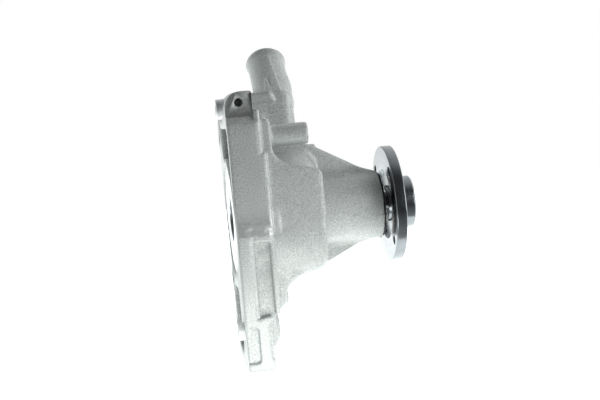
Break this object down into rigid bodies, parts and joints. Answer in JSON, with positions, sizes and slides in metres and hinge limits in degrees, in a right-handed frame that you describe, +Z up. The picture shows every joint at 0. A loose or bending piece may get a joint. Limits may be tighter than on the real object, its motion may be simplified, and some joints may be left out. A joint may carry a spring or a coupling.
{
  "type": "engine water pump",
  "caption": "Engine water pump: cast housing with flat engine face, leaning hose spigot, ribbed bearing snout, drilled drive flange on a free-turning shaft, and an enclosed impeller.",
  "frame": {"origin": "where the shaft axis meets the engine mounting face", "axes": "+X along the shaft from the engine face to the pilot nose, +Z up towards the ear and the hose spigot, +Y towards the side that the spigot leans to"},
  "size_m": [0.1312, 0.1034, 0.2146],
  "materials": {
    "casting": "shot-blasted cast aluminium with milled faces",
    "turned_steel": "fine-turned steel, lightly oiled",
    "ground_steel": "ground bearing steel",
    "polished_steel": "lapped",
    "zinc_plate": "bright zinc plated",
    "spring_steel": "drawn stainless wire",
    "cast_iron": "as cast, machined bore and rim",
    "brass": "drawn",
    "nitrile": "moulded",
    "carbon": "lapped carbon graphite",
    "ceramic": "lapped alumina",
    "cage_plastic": "glass-filled nylon",
    "gasket_fibre": "pressed fibre"
  },
  "bodies": {
    "housing": {"pump_housing": "casting", "rear_cover": "zinc_plate", "cover_gasket": "gasket_fibre", "cover_screws": "zinc_plate", "upper_ring_dowel": "ground_steel", "lower_ring_dowel": "ground_steel", "bearing_outer_race": "ground_steel", "front_bearing_seal": "nitrile", "rear_bearing_seal": "nitrile", "seal_case": "brass", "seal_bellows": "nitrile", "seal_spring": "spring_steel", "carbon_ring": "carbon", "carbon_ring_shell": "zinc_plate"},
    "rotor": {"pump_shaft": "ground_steel", "drive_hub": "turned_steel", "dust_shield": "nitrile", "slinger": "zinc_plate", "impeller": "cast_iron", "mating_ring": "ceramic", "mating_ring_cup": "nitrile"},
    "ball_set": {"bearing_balls": "polished_steel", "ball_cage": "cage_plastic"},
    "roller_set": {"bearing_rollers": "polished_steel", "roller_cage": "cage_plastic"}
  },
  "joints": [
    {"name": "shaft_spin", "type": "hinge", "parent": "housing", "child": "rotor", "pos_m": [0, 0, 0], "axis": [1, 0, 0], "continuous": true},
    {"name": "ball_set_spin", "type": "hinge", "parent": "housing", "child": "ball_set", "pos_m": [0.07, 0, 0], "axis": [1, 0, 0], "continuous": true},
    {"name": "roller_set_spin", "type": "hinge", "parent": "housing", "child": "roller_set", "pos_m": [0.0865, 0, 0], "axis": [1, 0, 0], "continuous": true}
  ],
  "couplings": [
    {"joint": "ball_set_spin", "follows": "shaft_spin", "ratio": 0.3443},
    {"joint": "roller_set_spin", "follows": "shaft_spin", "ratio": 0.3826}
  ]
}
